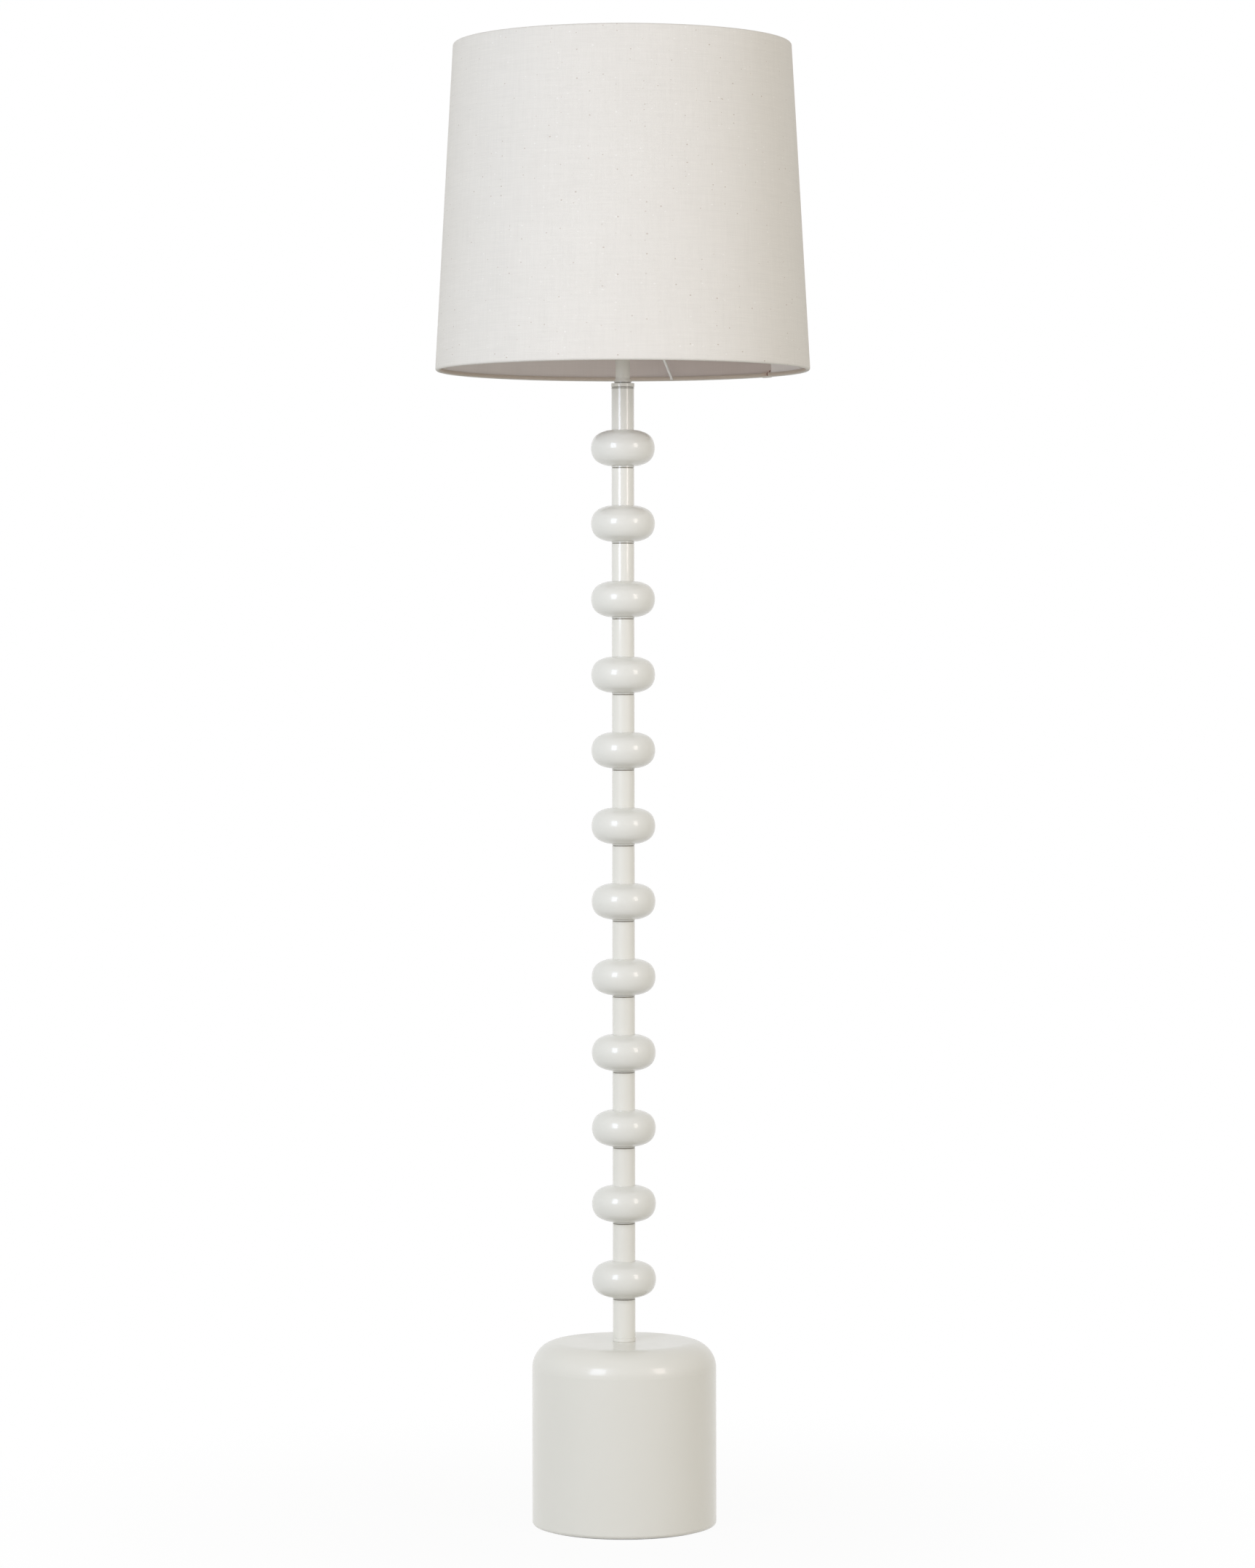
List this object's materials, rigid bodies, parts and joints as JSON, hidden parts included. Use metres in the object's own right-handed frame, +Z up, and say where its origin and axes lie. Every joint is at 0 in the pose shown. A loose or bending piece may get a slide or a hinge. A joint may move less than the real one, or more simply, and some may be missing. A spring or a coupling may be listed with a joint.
{
  "type": "column floor lamp",
  "caption": "Floor lamp with a heavy rounded drum base, a slim column of beads and tubes, and a tapered drum shade over an upright bulb.",
  "frame": {"origin": "centre of the foot pad's underside, on the column's axis", "axes": "+Z up the column, -Y towards the front, +Y towards the cable gland, X to the viewer's right"},
  "size_m": [0.4072, 0.407, 1.61],
  "materials": {
    "column_paint": "satin off-white paint",
    "bead_lacquer": "glossy off-white lacquer over turned wood",
    "hardware_steel": "zinc plated",
    "ballast_iron": "rough casting",
    "pad_felt": "pressed felt",
    "gland_plastic": "moulded",
    "holder_plastic": "moulded",
    "insert_moulding": "heat-proof moulding",
    "contact_brass": "bright",
    "cap_aluminium": "pressed sheet",
    "cap_insulator": "glassy black",
    "opal_glass": "opal",
    "shade_linen": "plain-woven linen with slubs",
    "shade_lining": "laminated sheet",
    "wire_enamel": "white enamel"
  },
  "bodies": {
    "stand": {"base_shell": "column_paint", "foot_ring": "column_paint", "column_tube_01": "column_paint", "column_tube_02": "column_paint", "column_tube_03": "column_paint", "column_tube_04": "column_paint", "column_tube_05": "column_paint", "column_tube_06": "column_paint", "column_tube_07": "column_paint", "column_tube_08": "column_paint", "column_tube_09": "column_paint", "column_tube_10": "column_paint", "column_tube_11": "column_paint", "column_tube_12": "column_paint", "column_tube_13": "column_paint", "column_collar": "column_paint", "neck_sleeve": "column_paint", "bead_01": "bead_lacquer", "bead_02": "bead_lacquer", "bead_03": "bead_lacquer", "bead_04": "bead_lacquer", "bead_05": "bead_lacquer", "bead_06": "bead_lacquer", "bead_07": "bead_lacquer", "bead_08": "bead_lacquer", "bead_09": "bead_lacquer", "bead_10": "bead_lacquer", "bead_11": "bead_lacquer", "bead_12": "bead_lacquer", "base_plate": "hardware_steel", "plate_screws": "hardware_steel", "base_spacer": "hardware_steel", "pressure_washer": "hardware_steel", "anchor_washer": "hardware_steel", "anchor_nut": "hardware_steel", "pipe_lower": "hardware_steel", "pipe_upper": "hardware_steel", "pipe_coupling": "hardware_steel", "terminal_screws": "hardware_steel", "ballast_disc": "ballast_iron", "foot_pad": "pad_felt", "cable_gland": "gland_plastic", "holder_cap": "holder_plastic", "holder_skirt": "holder_plastic", "holder_insert": "insert_moulding", "screw_shell": "contact_brass", "centre_contact": "contact_brass"},
    "shade": {"shade_cover": "shade_linen", "shade_backing": "shade_lining", "backing_lap": "shade_lining", "rim_wire_top": "wire_enamel", "rim_wire_bottom": "wire_enamel", "spider_arms": "wire_enamel", "fitter_ring": "wire_enamel"},
    "ring": {"shade_ring": "holder_plastic"},
    "bulb_lift": {"bulb_contact": "contact_brass"},
    "bulb": {"bulb_cap": "cap_aluminium", "bulb_insulator": "cap_insulator", "bulb_glass": "opal_glass"}
  },
  "joints": [
    {"name": "shade_turn", "type": "hinge", "parent": "stand", "child": "shade", "pos_m": [0, 0, 1.3392], "axis": [0, 0, 1], "continuous": true},
    {"name": "ring_turn", "type": "hinge", "parent": "stand", "child": "ring", "pos_m": [0, 0, 1.3435], "axis": [0, 0, 1], "range_deg": [0, 2880]},
    {"name": "bulb_rise", "type": "slide", "parent": "stand", "child": "bulb_lift", "axis": [0, 0, 1], "range_m": [0, 0.0162]},
    {"name": "bulb_turn", "type": "hinge", "parent": "bulb_lift", "child": "bulb", "pos_m": [0, 0, 1.35], "axis": [0, 0, 1], "range_deg": [0, 1620]}
  ],
  "couplings": [
    {"joint": "bulb_rise", "follows": "bulb_turn", "m_per_rad": 0.00057296}
  ]
}
